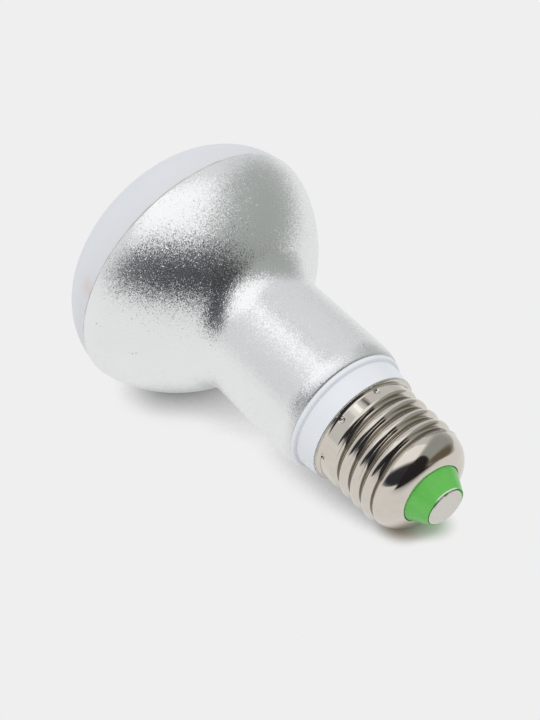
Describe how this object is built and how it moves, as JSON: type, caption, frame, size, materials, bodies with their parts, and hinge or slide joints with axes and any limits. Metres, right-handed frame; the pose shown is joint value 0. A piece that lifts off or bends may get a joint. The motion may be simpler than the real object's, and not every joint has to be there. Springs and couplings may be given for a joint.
{
  "type": "reflector bulb",
  "caption": "Sealed reflector lamp with an opal diffuser dome, a satin silver bowl and neck, a white collar and a nickel-plated 27 mm screw cap.",
  "frame": {"origin": "centre of the end face of the centre contact, on the lamp's axis", "axes": "+Z along the lamp's axis, from the cap to the diffuser; the front faces -Y"},
  "size_m": [0.063, 0.063, 0.1026],
  "materials": {
    "opal_diffuser": "opal, satin smooth",
    "satin_silver": "sprayed metallic silver, fine grain",
    "white_collar": "moulded, glossy",
    "nickel_shell": "bright nickel plate on drawn sheet",
    "green_insulator": "moulded, glossy",
    "nickel_contact": "nickel plate, worn edge"
  },
  "bodies": {
    "root": {"diffuser": "opal_diffuser", "housing": "satin_silver", "base_collar": "white_collar", "screw_shell": "nickel_shell", "cap_insulator": "green_insulator", "centre_contact": "nickel_contact"}
  },
  "joints": []
}
